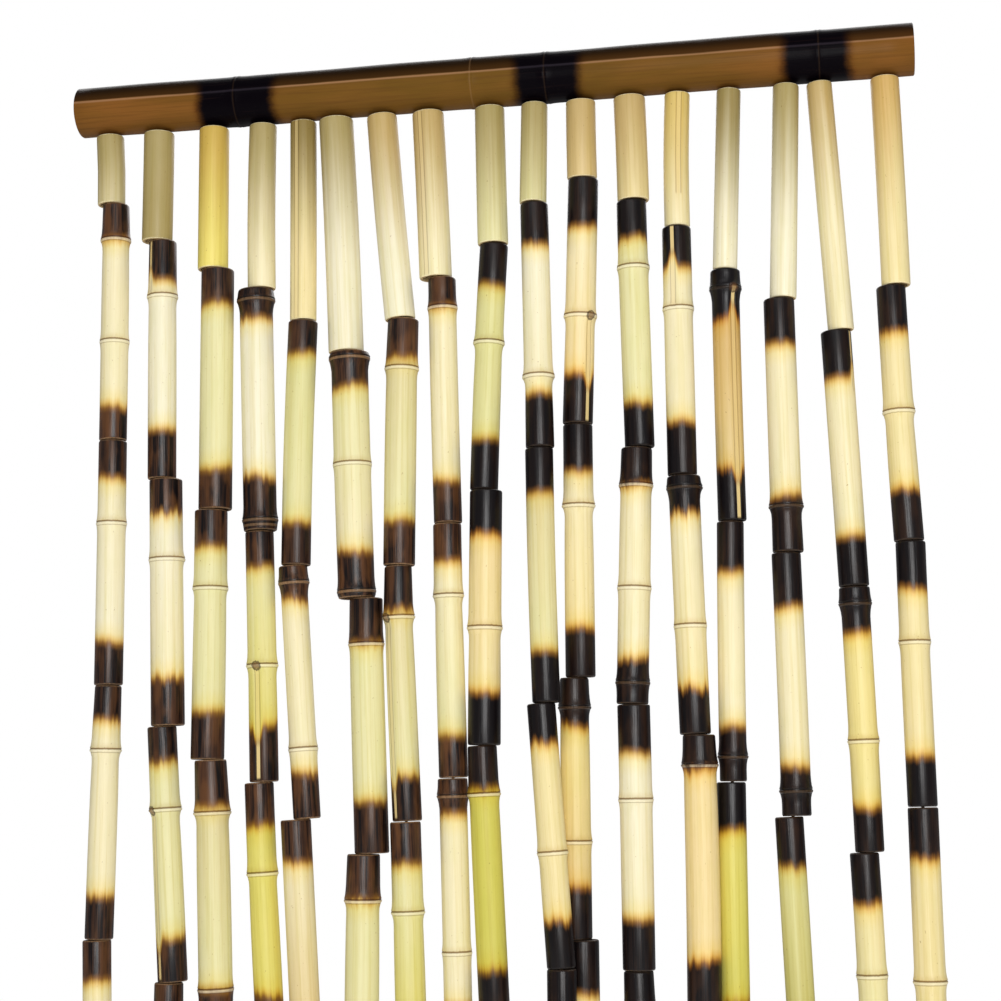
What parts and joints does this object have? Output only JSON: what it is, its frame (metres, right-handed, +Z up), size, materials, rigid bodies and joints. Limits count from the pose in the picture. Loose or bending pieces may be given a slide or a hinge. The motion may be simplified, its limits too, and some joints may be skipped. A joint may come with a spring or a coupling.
{
  "type": "bamboo door curtain with bamboo headrail",
  "caption": "Door curtain of bamboo tubes with scorched ends, threaded end to end on cords and hung in strands under a bamboo pole.",
  "frame": {"origin": "top of the headrail at mid length, where brackets, hooks or loops at the head of the doorway hold it", "axes": "+Z up, X along the headrail, -Y towards the front side that the picture shows"},
  "size_m": [0.82, 0.0564, 2.0003],
  "materials": {
    "bamboo_pole": "gloss",
    "bamboo_tube": "satin"
  },
  "bodies": {
    "root": {"headrail": "bamboo_pole", "strand_01": "bamboo_tube", "strand_02": "bamboo_tube", "strand_03": "bamboo_tube", "strand_04": "bamboo_tube", "strand_05": "bamboo_tube", "strand_06": "bamboo_tube", "strand_07": "bamboo_tube", "strand_08": "bamboo_tube", "strand_09": "bamboo_tube", "strand_10": "bamboo_tube", "strand_11": "bamboo_tube", "strand_12": "bamboo_tube", "strand_13": "bamboo_tube", "strand_14": "bamboo_tube", "strand_15": "bamboo_tube", "strand_16": "bamboo_tube", "strand_17": "bamboo_tube"}
  },
  "joints": []
}
